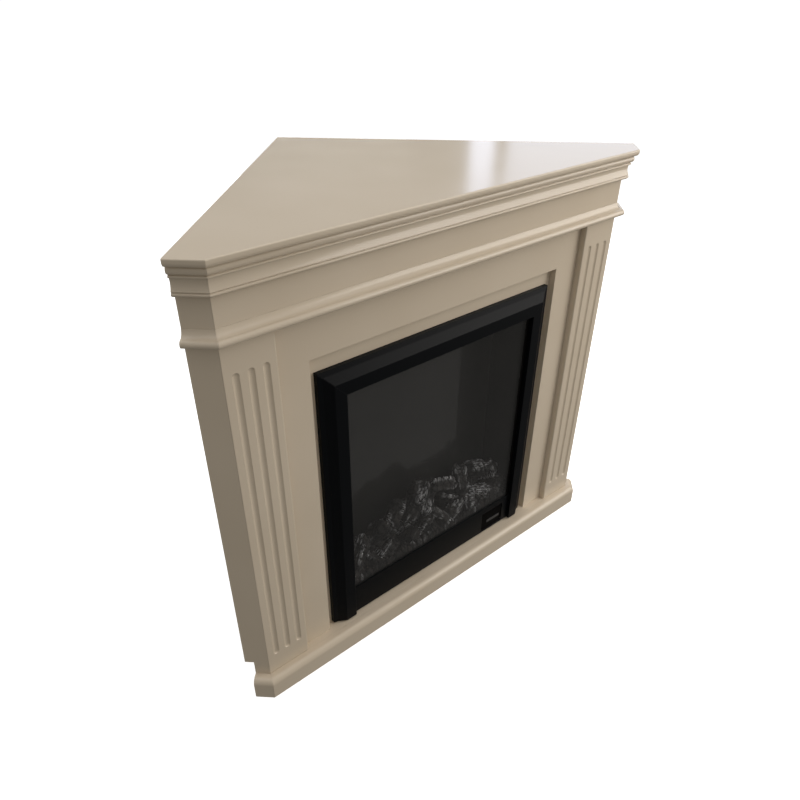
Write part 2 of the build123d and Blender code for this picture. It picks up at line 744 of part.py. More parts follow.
with BuildPart() as thermostat_knob:
    rod((knob_x, front + panel_y - 12, control_z), (0, 1, 0), knob_radius, 12 - body_gap)
    fillet(thermostat_knob.edges().sort_by(Axis.Y)[:1], radius=1.5)
    slab(
        (knob_x - 0.6, front + panel_y - 12.6, control_z + 2),
        (knob_x + 0.6, front + panel_y - 11, control_z + knob_radius - 2),
    )
    rod((knob_x, front + panel_y - 1, control_z), (0, 1, 0), rotor_radius, 9)
save(thermostat_knob, "thermostat_knob")

with BuildPart() as main_switch:
    slab(
        (rocker_x - rocker_width / 2, front + panel_y - 4, control_z - rocker_height / 2),
        (rocker_x + rocker_width / 2, front + rocker_y + 4, control_z + rocker_height / 2),
    )
    rod(
        (rocker_x - rocker_width / 2 - body_gap - sheet, front + rocker_y + 2, control_z),
        (1, 0, 0),
        1.5,
        rocker_width + 2 * body_gap + 2 * sheet,
    )
save(main_switch, "main_switch")

# ================================================================ supply side
box_left = -250.0
box_depth = 34.0
with BuildPart() as terminal_box:
    slab(
        (box_left, front + housing_back_y, 160),
        (box_left + 70, front + housing_back_y + box_depth, 220),
    )
    fillet(terminal_box.edges().group_by(Axis.Y)[-1], radius=3)
    rod((box_left + 35, front + housing_back_y + 12, 190), (0, 1, 0), 4, box_depth, Mode.SUBTRACT)
save(terminal_box, "terminal_box")

gland_length = 18.0
with BuildPart() as cable_gland:
    with BuildSketch(front_plane.offset(-housing_back_y - box_depth)):
        with Locations((box_left + 35, 190)):
            RegularPolygon(9.5, 6)
            Circle(4, mode=Mode.SUBTRACT)
    extrude(amount=-8)
    with BuildSketch(front_plane.offset(-housing_back_y - box_depth - 8)):
        with Locations((box_left + 35, 190)):
            Circle(8)
            Circle(4, mode=Mode.SUBTRACT)
    extrude(amount=8 - gland_length)
save(cable_gland, "cable_gland")
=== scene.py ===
# %% [markdown]
# # A corner mantel with an electric fireplace
#
# The wooden mantel stands across a corner of a room, and a black-trimmed electric insert sits in it.
# Every board, moulding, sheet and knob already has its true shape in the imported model, so this script
# gives each of them its finish. It shapes only what a machine can't cut or what is too small for the
# model: the charred logs, the bed of embers, a bar on the little door, printed marks and screws. All
# lengths are metres, and all places are read from the model itself.

# %% Load the model
import bpy
import json
import numpy as np
from mathutils import Matrix, Vector


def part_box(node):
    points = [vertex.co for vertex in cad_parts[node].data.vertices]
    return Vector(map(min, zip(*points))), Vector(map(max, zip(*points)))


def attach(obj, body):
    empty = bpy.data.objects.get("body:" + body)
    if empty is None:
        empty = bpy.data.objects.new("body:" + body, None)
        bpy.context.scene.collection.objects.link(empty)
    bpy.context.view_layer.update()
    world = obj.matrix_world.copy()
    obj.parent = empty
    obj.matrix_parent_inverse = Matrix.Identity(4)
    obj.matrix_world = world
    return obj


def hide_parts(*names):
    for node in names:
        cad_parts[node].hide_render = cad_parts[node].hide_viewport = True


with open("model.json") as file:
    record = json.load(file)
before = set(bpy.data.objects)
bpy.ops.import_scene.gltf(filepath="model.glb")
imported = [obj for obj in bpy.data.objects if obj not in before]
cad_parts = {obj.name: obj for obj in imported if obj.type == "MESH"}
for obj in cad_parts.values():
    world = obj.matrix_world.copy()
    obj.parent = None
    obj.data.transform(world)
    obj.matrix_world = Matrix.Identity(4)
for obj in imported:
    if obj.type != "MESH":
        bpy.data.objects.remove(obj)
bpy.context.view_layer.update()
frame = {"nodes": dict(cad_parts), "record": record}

nodes = frame["nodes"]
MM = 0.001
front_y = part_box("pilaster_left")[0].y


# %% [markdown]
# ## Colours
#
# A colour written here is an sRGB hex value. Shaders add and multiply light, so they need linear
# values. One function does that conversion, and every colour below goes through it.

# %% From hex to linear light
def linear(hex_colour):
    """Linear red, green, blue and alpha of an sRGB hex value: the standard sRGB curve, undone."""
    srgb = np.array([int(hex_colour[i:i + 2], 16) for i in (1, 3, 5)]) / 255
    light = np.where(srgb <= 0.04045, srgb / 12.92, ((srgb + 0.055) / 1.055) ** 2.4)
    return (*light.tolist(), 1.0)


print("cream in linear light:", linear("#cdc0a8"))


# %% [markdown]
# ## Building a material
#
# A material is a small graph. Writing each node out in full is long, so one function adds any kind of
# node, sets its properties, and either sets each socket or links it to the node that feeds it. The
# same helper fills the sockets of the shader itself, so every material below reads in one way.

# %% One function for every node, and where a material starts
def set_sockets(tree, node, sockets):
    """Fill a node's sockets: another node's output is linked in, and a plain value is stored."""
    for name, value in sockets.items():
        if isinstance(value, bpy.types.NodeSocket):
            tree.links.new(value, node.inputs[name])
        else:
            node.inputs[name].default_value = value


def add_node(tree, kind, sockets, ramp=None, **settings):
    """Add a node with its settings and sockets. A ramp gives the position and colour of each stop."""
    made = tree.nodes.new(kind)
    for name, value in settings.items():
        setattr(made, name, value)
    if ramp:
        for stop, (position, hex_colour) in zip(made.color_ramp.elements, ramp.items()):
            stop.position = position
            stop.color = linear(hex_colour)
    set_sockets(tree, made, sockets)
    return made


def start_material(name, surface):
    """A new material: itself, its node tree, its shader and its Object coordinates in metres."""
    material = bpy.data.materials.new(name)
    material.use_nodes = True
    tree = material.node_tree
    shader = tree.nodes["Principled BSDF"]
    set_sockets(tree, shader, surface)
    place = add_node(tree, "ShaderNodeTexCoord", {}).outputs["Object"]
    return material, tree, shader, place


def per_metre(size_mm):
    """The Scale of a texture whose features are this many millimetres across."""
    return 1000 / size_mm


print("features 2 mm across need a Scale of", per_metre(2))


# %% [markdown]
# ## Sprayed satin lacquer
#
# The mantel is fibreboard with a sprayed two-part lacquer in a warm off-white. Spraying leaves a very
# fine orange peel about 2 mm across, and the boards drift slightly in tone over a hand's width. The
# edges were broken with fine paper before spraying, so they catch a thin line of light: a Bevel node
# rounds them for the shader, because the boards' own meshes stay as they are. Round the firebox the
# rail and its stiles were joined flush and then sprayed as one, so their edges are kept nearly sharp.

# %% Lacquer
def sprayed_lacquer(name, edge_mm):
    """Satin lacquer: smooth film, faint orange peel, edges broken by this many millimetres."""
    material, tree, shader, place = start_material(name, {"IOR": 1.5})
    drift = add_node(tree, "ShaderNodeTexNoise", {
        "Vector": place, "Scale": per_metre(160), "Detail": 1.0,
    }).outputs["Fac"]
    tone = add_node(tree, "ShaderNodeValToRGB", {"Fac": drift}, ramp={0: "#d0c1ab", 1: "#d8cab6"})
    sheen = add_node(tree, "ShaderNodeMapRange", {"Value": drift, "To Min": 0.14, "To Max": 0.2})
    edge = add_node(tree, "ShaderNodeBevel", {"Radius": edge_mm * MM}, samples=6)
    peel = add_node(tree, "ShaderNodeTexNoise", {
        "Vector": place, "Scale": per_metre(2.2), "Detail": 1.0,
    })
    bump = add_node(tree, "ShaderNodeBump", {
        "Height": peel.outputs["Fac"], "Normal": edge.outputs["Normal"],
        "Strength": 0.05, "Distance": 0.1 * MM,
    })
    set_sockets(tree, shader, {
        "Base Color": tone.outputs["Color"],
        "Roughness": sheen.outputs["Result"],
        "Normal": bump.outputs["Normal"],
    })
    return material


lacquer = sprayed_lacquer("sprayed_satin_lacquer", 1.8)
flush_lacquer = sprayed_lacquer("flush_satin_lacquer", 0.25)
print("lacquers:", lacquer.name, flush_lacquer.name)


# %% [markdown]
# ## Bare fibreboard
#
# Parts that face the wall are left bare. Medium density fibreboard is brown felted wood dust: darker
# and lighter flecks under a millimetre, drawn here at 1.5 mm so that they show. The same noise that
# tints the flecks also lifts them, because a fleck is a fibre that stands a little proud.

# %% Bare board
def bare_fibreboard():
    """Matt brown board with flecks and a rough face."""
    material, tree, shader, place = start_material("bare_fibreboard", {"Roughness": 0.85})
    fleck = add_node(tree, "ShaderNodeTexNoise", {
        "Vector": place, "Scale": per_metre(1.5), "Detail": 4.0,
    }).outputs["Fac"]
    tone = add_node(tree, "ShaderNodeValToRGB", {"Fac": fleck}, ramp={0: "#8f7046", 1: "#c3a678"})
    bump = add_node(tree, "ShaderNodeBump", {"Height": fleck, "Strength": 0.2, "Distance": 0.1 * MM})
    set_sockets(tree, shader, {"Base Color": tone.outputs["Color"], "Normal": bump.outputs["Normal"]})
    return material


bare_board = bare_fibreboard()
print("board:", bare_board.name)


# %% [markdown]
# ## Black powder coat
#
# The trim round the glass, the bezel and its door are folded steel with a black polyester powder coat.
# Powder melts into a skin with a fine pebbled texture, drawn at 0.9 mm so that it shows, and the
# highlights are broad and soft. The folds have a small radius, again rounded for the shader. The
# door's coat is duller than the trim's, and darker: that darker tone is painted shade, standing in for
# the shadow in the gap round the door.

# %% Powder coat
def powder_coat(name, dark, light, roughness, gloss):
    """Baked powder on folded steel: near-black skin with a fine pebbled texture and a dull gloss."""
    material, tree, shader, place = start_material(name, {
        "Roughness": roughness, "Specular IOR Level": gloss,
    })
    pebble = add_node(tree, "ShaderNodeTexNoise", {
        "Vector": place, "Scale": per_metre(0.9), "Detail": 2.0,
    }).outputs["Fac"]
    tone = add_node(tree, "ShaderNodeValToRGB", {"Fac": pebble}, ramp={0: dark, 1: light})
    edge = add_node(tree, "ShaderNodeBevel", {"Radius": 1.4 * MM}, samples=6)
    bump = add_node(tree, "ShaderNodeBump", {
        "Height": pebble, "Normal": edge.outputs["Normal"], "Strength": 0.12, "Distance": 0.1 * MM,
    })
    set_sockets(tree, shader, {"Base Color": tone.outputs["Color"], "Normal": bump.outputs["Normal"]})
    return material


trim_coat = powder_coat("black_powder_coat", "#030507", "#080a0e", 0.42, 0.095)
chamber_coat = powder_coat("matt_black_powder_coat", "#050505", "#0b0b0b", 0.6, 0.095)
# painted shade: the door is darker than the trim, standing in for the shadow in the gap round it
shaded_door_coat = powder_coat("dull_black_coat_painted_shade", "#010102", "#030304", 0.5, 0.03)
print("powder coats:", trim_coat.name, chamber_coat.name, shaded_door_coat.name)


# %% [markdown]
# ## Glass and the flame screen
#
# The pane is clear toughened glass. It is drawn as a mostly clear film with a sharp reflection, which
# shows the room's light on top of the dark fire chamber. Its faint grey tone is a painted reflection, a
# veil for the room mirrored in the pane. Behind the logs stands the screen on which the flames appear:
# smoked acrylic with a half-mirror film. A high coat IOR gives that film's mirror.

# %% Clear glass
def toughened_glass():
    """Clear pane: low alpha, a grey tone as a painted reflection veil, polished surface with faint
    handling smears.
    """
    material, tree, shader, place = start_material("toughened_glass", {
        "Alpha": 0.22, "IOR": 1.52, "Specular IOR Level": 1.0,
        "Coat Weight": 1.0, "Coat Roughness": 0.02,
    })
    smear_and_veil = add_node(tree, "ShaderNodeTexNoise", {
        "Vector": place, "Scale": per_metre(90), "Detail": 3.0,
    }).outputs["Fac"]
    # painted reflection: the grey tone is a veil that stands in for the room mirrored in the pane
    tone = add_node(tree, "ShaderNodeValToRGB", {"Fac": smear_and_veil}, ramp={0: "#1a1a1a", 1: "#353331"})
    haze = add_node(tree, "ShaderNodeMapRange", {"Value": smear_and_veil, "To Min": 0.03, "To Max": 0.12})
    set_sockets(tree, shader, {
        "Base Color": tone.outputs["Color"], "Roughness": haze.outputs["Result"],
    })
    return material


clear_glass = toughened_glass()
print("glass:", clear_glass.name)


# %% Half-mirror acrylic
def smoked_acrylic():
    """Dark diffusing sheet under a half-mirror film: it shows the logs in front of it a second time."""
    material, tree, shader, place = start_material("smoked_mirror_acrylic", {
        "Roughness": 0.3, "IOR": 1.49, "Coat Weight": 1.0, "Coat IOR": 1.75, "Coat Roughness": 0.05,
    })
    drift = add_node(tree, "ShaderNodeTexNoise", {
        "Vector": place, "Scale": per_metre(160), "Detail": 2.0,
    }).outputs["Fac"]
    tone = add_node(tree, "ShaderNodeValToRGB", {"Fac": drift}, ramp={0: "#262626", 1: "#323130"})
    set_sockets(tree, shader, {"Base Color": tone.outputs["Color"]})
    return material


mirror_screen = smoked_acrylic()
print("flame screen:", mirror_screen.name)


# %% [markdown]
# ## Charred resin logs and embers
#
# The logs are cast resin painted black-brown, then dry-brushed with pale silver ash so that only the
# crests of the char take the paint. On the logs the pale streaks are also a painted highlight: they are
# laid most on the faces turned up and towards the room, where the light falls. Two attributes of the
# mesh guide the material. The one called crest is 1 where the pale streaks go and 0 elsewhere. The one
# called grain is the place on the log, squeezed along the strokes, so that noise read from it gives
# streaks about 3 mm wide.

# %% Charred resin
MIX_FIRST, MIX_SECOND, MIX_RESULT = 6, 7, 2  # a Mix node's colour sockets, whose names repeat


def charred_resin(name, char, warm, ash, ash_amount):
    """Black-brown cast resin, dull as soot, with pale crests: brushed ash, and on logs a painted
    highlight.
    """
    material, tree, shader, place = start_material(name, {"IOR": 1.5, "Specular IOR Level": 0.3})
    soot = add_node(tree, "ShaderNodeTexNoise", {
        "Vector": place, "Scale": per_metre(24), "Detail": 6.0,
    }).outputs["Fac"]
    body = add_node(tree, "ShaderNodeValToRGB", {"Fac": soot}, ramp={0.4: char, 0.75: warm})
    # crest marks the pale streaks: brushed ash, and on the logs a painted highlight as well
    crest = add_node(tree, "ShaderNodeAttribute", {}, attribute_name="crest").outputs["Fac"]
    grain = add_node(tree, "ShaderNodeAttribute", {}, attribute_name="grain").outputs["Vector"]
    scratch = add_node(tree, "ShaderNodeTexNoise", {
        "Vector": grain, "Scale": per_metre(3.2), "Detail": 3.0,
    })
    broken = add_node(tree, "ShaderNodeMapRange", {
        "Value": scratch.outputs["Fac"], "From Min": 0.4, "From Max": 0.7, "To Max": ash_amount,
    })
    thin = add_node(tree, "ShaderNodeMath", {
        0: crest, 1: broken.outputs["Result"],
    }, operation="MULTIPLY")
    dusted = add_node(tree, "ShaderNodeMix", {
        "Factor": thin.outputs["Value"], MIX_FIRST: body.outputs["Color"], MIX_SECOND: linear(ash),
    }, data_type="RGBA")
    gloss = add_node(tree, "ShaderNodeMapRange", {"Value": soot, "To Min": 0.45, "To Max": 0.8})
    pits = add_node(tree, "ShaderNodeTexNoise", {"Vector": place, "Scale": per_metre(5), "Detail": 6.0})
    bump = add_node(tree, "ShaderNodeBump", {
        "Height": pits.outputs["Fac"], "Strength": 0.4, "Distance": 1.0 * MM,
    })
    set_sockets(tree, shader, {
        "Base Color": dusted.outputs[MIX_RESULT],
        "Roughness": gloss.outputs["Result"],
        "Normal": bump.outputs["Normal"],
    })
    return material


# the logs' pale colour is brushed ash and a painted highlight in one
log_resin = charred_resin("charred_log_resin", "#151516", "#3f3b38", "#f2f2f4", 0.95)
ember_resin = charred_resin("ember_resin", "#151514", "#383230", "#dcdcdf", 0.8)
print("resins:", log_resin.name, ember_resin.name)


# %% [markdown]
# ## Sheet steel and alloys
#
# The housing is hot-dip zinc-coated steel, whose crystals, the spangle, are flat facets about 9 mm
# across that each reflect a little differently. Motors, the fan wheel and the heater's fins are plain
# rolled or turned metal. A metal's colour is its reflection, so the tone and the gloss do the work.

# %% Galvanised sheet
def zinc_spangle():
    """Galvanised sheet: crystals told apart by roughness and a slight change of grey."""
    material, tree, shader, place = start_material("zinc_spangle_steel", {"Metallic": 1.0})
    crystal = add_node(tree, "ShaderNodeTexVoronoi", {"Vector": place, "Scale": per_metre(9)})
    grey = add_node(tree, "ShaderNodeRGBToBW", {"Color": crystal.outputs["Color"]}).outputs["Val"]
    tone = add_node(tree, "ShaderNodeValToRGB", {"Fac": grey}, ramp={0: "#8d9094", 1: "#b4b7ba"})
    facet = add_node(tree, "ShaderNodeMapRange", {"Value": grey, "To Min": 0.34, "To Max": 0.52})
    set_sockets(tree, shader, {
        "Base Color": tone.outputs["Color"], "Roughness": facet.outputs["Result"],
    })
    return material


zinc_sheet = zinc_spangle()
print("housing:", zinc_sheet.name)


# %% Plain metals
def plain_metal(name, dark, light, roughness, grain_mm):
    """Rolled or turned metal: a fine grain in tone and gloss."""
    material, tree, shader, place = start_material(name, {"Metallic": 1.0, "Roughness": roughness})
    grain = add_node(tree, "ShaderNodeTexNoise", {
        "Vector": place, "Scale": per_metre(grain_mm), "Detail": 5.0,
    }).outputs["Fac"]
    tone = add_node(tree, "ShaderNodeValToRGB", {"Fac": grain}, ramp={0: dark, 1: light})
    bump = add_node(tree, "ShaderNodeBump", {"Height": grain, "Strength": 0.1, "Distance": 0.05 * MM})
    set_sockets(tree, shader, {"Base Color": tone.outputs["Color"], "Normal": bump.outputs["Normal"]})
    return material


bright_foil = plain_metal("bright_foil", "#c9cacb", "#e4e4e5", 0.12, 3)
steel_can = plain_metal("pressed_steel_can", "#7e8184", "#9c9fa2", 0.35, 2)
fan_alloy = plain_metal("fan_wheel_aluminium", "#a9abad", "#c4c6c8", 0.4, 2)
fin_alloy = plain_metal("heater_fin_aluminium", "#8b8d90", "#aeb0b2", 0.45, 1.5)
screw_plating = plain_metal("zinc_plated_screw", "#a79f83", "#c2bb9f", 0.3, 1)
metals = (bright_foil, steel_can, fan_alloy, fin_alloy, screw_plating)
print("metals:", [metal.name for metal in metals])


# %% [markdown]
# ## Moulded plastics and the circuit boards
#
# The controls are moulded ABS. Its mould was spark-eroded, which leaves a grain of about half a
# millimetre and turns the highlights soft. The boards are glass laminate under a green solder mask,
# through which the copper shows as lighter lines: a brick pattern is a plain way to draw such tracks.

# %% Plastics
def moulded_abs(name, dark, light, roughness):
    """Moulded ABS with a spark-eroded grain of about half a millimetre."""
    material, tree, shader, place = start_material(name, {"Roughness": roughness, "IOR": 1.53})
    grain = add_node(tree, "ShaderNodeTexNoise", {
        "Vector": place, "Scale": per_metre(0.6), "Detail": 2.0,
    }).outputs["Fac"]
    tone = add_node(tree, "ShaderNodeValToRGB", {"Fac": grain}, ramp={0: dark, 1: light})
    bump = add_node(tree, "ShaderNodeBump", {"Height": grain, "Strength": 0.15, "Distance": 0.1 * MM})
    set_sockets(tree, shader, {"Base Color": tone.outputs["Color"], "Normal": bump.outputs["Normal"]})
    return material


black_abs = moulded_abs("black_abs", "#0a0a0b", "#161617", 0.5)
grey_abs = moulded_abs("grey_abs", "#5b5c5e", "#6b6c6e", 0.45)
bar_abs = moulded_abs("dark_grey_abs", "#292a2b", "#323335", 0.5)
pad_ink = moulded_abs("pad_printed_ink", "#b9bbbd", "#c6c8ca", 0.6)
print("plastics:", [plastic.name for plastic in (black_abs, grey_abs, bar_abs, pad_ink)])


# %% Circuit boards
def circuit_laminate():
    """Green solder mask over glass laminate, with copper tracks seen through it as lighter lines."""
    material, tree, shader, place = start_material("circuit_laminate", {"Roughness": 0.35})
    track = add_node(tree, "ShaderNodeTexBrick", {
        "Vector": place, "Scale": per_metre(14), "Mortar Size": 0.05,
        "Color1": linear("#0d3b22"), "Color2": linear("#0f4527"), "Mortar": linear("#2f7a4a"),
    })
    set_sockets(tree, shader, {"Base Color": track.outputs["Color"]})
    return material


circuit_board = circuit_laminate()
print("circuit boards:", circuit_board.name)


# %% [markdown]
# ## Giving each part its finish
#
# The model's record says which slot each node belongs to. A table from slot to material finishes
# every board and sheet at once, and it also shows straight away if a slot was forgotten. The flush
# boards round the firebox and the control door then get their own coats.

# %% Finish the parts
finishes = {
    "cream_paint": lacquer,
    "bare_board": bare_board,
    "black_steel": trim_coat,
    "glass": clear_glass,
    "dark_steel": chamber_coat,
    "zinc_steel": zinc_sheet,
    "screen_acrylic": mirror_screen,
    "log_resin": log_resin,
    "ember_resin": ember_resin,
    "circuit": circuit_board,
    "foil": bright_foil,
    "motor_case": steel_can,
    "wheel_alloy": fan_alloy,
    "heater_fins": fin_alloy,
    "black_plastic": black_abs,
    "button_grey": grey_abs,
    "fastener": screw_plating,
}
own_coats = {
    "surround_rail": flush_lacquer,
    "surround_stile_left": flush_lacquer,
    "surround_stile_right": flush_lacquer,
    "control_door": shaded_door_coat,
}
slot_of = {part["node"]: part["material_slot"] for part in frame["record"]["subparts"]}
for name, part in nodes.items():
    for slot in part.material_slots:
        slot.material = own_coats.get(name, finishes[slot_of[name]])
print("finished", len(slot_of), "parts from", len(finishes), "slots")


# %% [markdown]
# ## Noise for shapes
#
# Bark, cracks and embers need noise that moves the surface itself. Value noise does that: random
# heights on a lattice, joined smoothly. Cracks come from a jittered grid of seed points: a crack runs
# where two seeds are equally near. The whole array of points is worked out at once.

# %% Smooth noise and a fade
NOISE_LATTICE = 32  # random heights along each side of the lattice, after which it repeats


def smooth_noise(points, cell, seed):
    """Random lattice values in a cube grid of the given cell, blended with the 3t^2 - 2t^3 curve."""
    heights = np.random.default_rng(seed).random((NOISE_LATTICE,) * 3)
    scaled = points / cell
    base = np.floor(scaled).astype(int)
    t = scaled - base
    t = t * t * (3 - 2 * t)
    total = np.zeros(points.shape[:-1])
    for corner in np.ndindex(2, 2, 2):
        index = (base + corner) % NOISE_LATTICE
        weight = np.prod(np.where(np.array(corner) == 1, t, 1 - t), axis=-1)
        total += weight * heights[index[..., 0], index[..., 1], index[..., 2]]
    return total


def fade(value, start, width):
    """0 below start, 1 above start + width, and a straight line between them."""
    return np.clip((value - start) / width, 0, 1)


print("noise at the origin:", float(smooth_noise(np.zeros((1, 3)), 10 * MM, 1)[0]))


# %% Cracks
CRACK_GRID = 64  # seed points along each side of the grid, after which it repeats


def cracks(across, along, cell_across, cell_along, seed):
    """Distance to the second nearest minus the nearest seed point of a jittered grid: 0 in a crack."""
    jitter = np.random.default_rng(seed).random((CRACK_GRID, CRACK_GRID, 2))
    place = np.stack([across / cell_across, along / cell_along], axis=-1)
    base = np.floor(place).astype(int)
    reach = []
    for step in np.ndindex(3, 3):
        cell = base + np.array(step) - 1
        point = cell + jitter[cell[..., 0] % CRACK_GRID, cell[..., 1] % CRACK_GRID]
        reach.append(np.linalg.norm(place - point, axis=-1))
    nearest = np.sort(np.stack(reach), axis=0)
    return nearest[1] - nearest[0]


print("crack pattern at the origin:", float(cracks(np.zeros(1), np.zeros(1), 10 * MM, 10 * MM, 1)[0]))


# %% [markdown]
# ## From a grid of points to a mesh
#
# Nearly every shaped piece below is a tube: rings of points that close round themselves, with the two
# ends pulled to a point, so the piece is a closed skin with no gap at its seam or its poles. Pieces
# that repeat, such as screws, are joined into one mesh.

# %% Grids, tubes and meshes
def mesh_from(name, points, faces, material, crest=None, grain=None):
    """A mesh object at the origin from arrays of points and faces, with crest and grain if given."""
    mesh = bpy.data.meshes.new(name)
    mesh.from_pydata(points, [], faces)
    if crest is not None:
        brushed = mesh.attributes.new("crest", "FLOAT", "POINT")
        brushed.data.foreach_set("value", crest.astype(np.float32))
        strokes = mesh.attributes.new("grain", "FLOAT_VECTOR", "POINT")
        strokes.data.foreach_set("vector", grain.astype(np.float32).reshape(-1))
    mesh.materials.append(material)
    mesh.polygons.foreach_set("use_smooth", np.ones(len(mesh.polygons), bool))
    mesh.update()
    piece = bpy.data.objects.new(name, mesh)
    bpy.context.collection.objects.link(piece)
    return piece


def tube_faces(rings, sides, first):
    """Quads between neighbouring rings of a closed tube, and a fan of triangles to each pole."""
    ring, side = np.meshgrid(np.arange(rings - 1), np.arange(sides), indexing="ij")
    here = first + ring * sides + side
    beside = first + ring * sides + (side + 1) % sides
    quads = np.stack([here, beside, beside + sides, here + sides], axis=-1).reshape(-1, 4)
    last = first + (rings - 1) * sides
    spin = np.arange(sides)
    following = (spin + 1) % sides
    low_pole = np.full(sides, first + rings * sides)
    low_fan = np.stack([low_pole, first + following, first + spin], axis=-1)
    high_fan = np.stack([low_pole + 1, last + spin, last + following], axis=-1)
    return quads.tolist() + low_fan.tolist() + high_fan.tolist()


def join_tubes(tubes):
    """Points and faces of several tubes as one, each given as points, rings and sides."""
    faces, count = [], 0
    for points, rings, sides in tubes:
        faces += tube_faces(rings, sides, count)
        count += len(points)
    return np.concatenate([points for points, rings, sides in tubes]), faces


print("a 3 by 4 tube has", len(tube_faces(3, 4, 0)), "faces")


# %% [markdown]
# ## The charred logs
#
# A cast log is a split billet with broken ends. Its radius is a function of the way along and the
# angle round it: flat split faces that meet in edges, a slow swelling, long ridges, and the cracks
# that charring leaves. A sculpted mesh could look as good, but a formula gives each log its own
# shape from one seed, and every term in it can be tuned alone.

# %% Where ash and a painted highlight go
SHARE_LEFT_DARK = 0.42  # share of a log's surface that lies too low for the brush
ASH_EDGE = 0.16  # how much higher, in radii, the ash is at its full strength


def ash_and_painted_highlight(flat, angle, lift, pose, seed):
    """How pale a place is: brushed ash on high places x patches, x a painted highlight facing up or to
    the room.
    """
    facing = np.stack([0 * angle, np.cos(angle), np.sin(angle)], axis=-1) @ pose.T
    # painted highlight: faces turned up and towards the room, where the light falls, take more of the
    # pale streaks
    lit_side = np.clip(0.15 + 0.9 * facing[..., 2] - 0.35 * facing[..., 1], 0, 1)
    high = fade(lift, np.quantile(lift, SHARE_LEFT_DARK), ASH_EDGE)
    patches = fade(smooth_noise(flat + seed, 24 * MM, seed + 9), 0.36, 0.2)
    return high * patches * lit_side


trial = ash_and_painted_highlight(np.zeros((1, 2, 3)), np.array([[0, np.pi / 2]]), np.array([[0, 1]]), np.eye(3), 1)
print("ash on a low side face and on a high top face:", trial.round(2).tolist())


# %% One log as a surface
LOG_RINGS, LOG_SIDES = 64, 58
SWELL_LIFT, RIDGE_LIFT, CRACK_DEPTH, GRIT_LIFT = 0.55, 0.24, 0.15, 0.07  # all in radii
SPLIT_TWIST = 0.35  # radians that the split faces turn over half a log
PLATE_AROUND, PLATE_ALONG = 16 * MM, 17 * MM  # the plates that charring cracks a log into
CRACK_WIDTH = 0.13  # in plates
RAGGED_END = 0.34  # how far the broken ends wander, in lengths


def log_surface(centre, turn, slope, length, radius, seed):
    """One log. Radius = nominal x end rounding x (polygon + swelling + ridges + grit - cracks)."""
    along, angle = np.meshgrid(
        np.linspace(-1, 1, LOG_RINGS + 2)[1:-1],
        np.linspace(0, 2 * np.pi, LOG_SIDES, endpoint=False),
        indexing="ij",
    )
    reach = along * length / 2
    flat = np.stack([reach, radius * np.cos(angle), radius * np.sin(angle)], axis=-1)
    split = 2 * np.pi / (4 + seed % 3)  # angle taken up by each of 4 to 6 split faces
    wedge = (angle + SPLIT_TWIST * along + seed) % split - split / 2
    polygon = np.cos(split / 2) / np.cos(wedge)
    swelling = smooth_noise(flat + 7 * seed, 38 * MM, seed) - 0.5
    ridges = smooth_noise(flat * np.array([0.2, 1, 1]) + 3 * seed, 7.5 * MM, seed + 1) - 0.5
    grit = smooth_noise(flat, 3.5 * MM, seed + 3) - 0.5
    wrap = radius * (np.cos(angle) + np.sin(2 * angle) / 2)
    crack = np.exp(-(cracks(wrap, reach, PLATE_AROUND, PLATE_ALONG, seed) / CRACK_WIDTH) ** 2)
    lift = polygon + SWELL_LIFT * swelling + RIDGE_LIFT * ridges
    lift = lift - CRACK_DEPTH * crack + GRIT_LIFT * grit
    end_rounding = (1 - np.abs(along) ** 7) ** (1 / 2.4)
    out = 1.12 * radius * end_rounding * lift
    ragged = RAGGED_END * length * (smooth_noise(flat, 13 * MM, seed + 5) - 0.5) * np.abs(along) ** 5
    local = np.stack([reach + ragged, out * np.cos(angle), out * np.sin(angle)], axis=-1)
    poles = np.array([[-length / 2, 0, 0], [length / 2, 0, 0]])
    local = np.concatenate([local.reshape(-1, 3), poles])
    turned = Matrix.Rotation(np.radians(turn), 3, "Z")
    pose = np.array(turned @ Matrix.Rotation(-np.radians(slope), 3, "Y"))
    crest = np.append(ash_and_painted_highlight(flat, angle, lift, pose, seed), [0, 0])
    strokes = (1, 0.3, 0.3) if seed % 3 == 0 else (0.16, 1, 1)  # brushed across it, or along it
    return local @ pose.T + np.array(centre), crest, local * np.array(strokes) + 0.1 * seed


points, crest, grain = log_surface((0, 0, 0), 0, 0, 80 * MM, 20 * MM, 11)
print("one log has", len(points), "points, and", int((crest > 0).sum()), "of them carry ash")


# %% [markdown]
# ## Laying the logs
#
# The short logs lean on each other across the whole width behind the glass: a front row, a back row
# and a top tier. Each is listed one by one, because the way a fire is laid isn't random. A log that
# would reach the glass, the screen or the side linings is pressed flat against them, as the casting is.

# %% Lay the logs
FIRST_LOG_SEED = 11
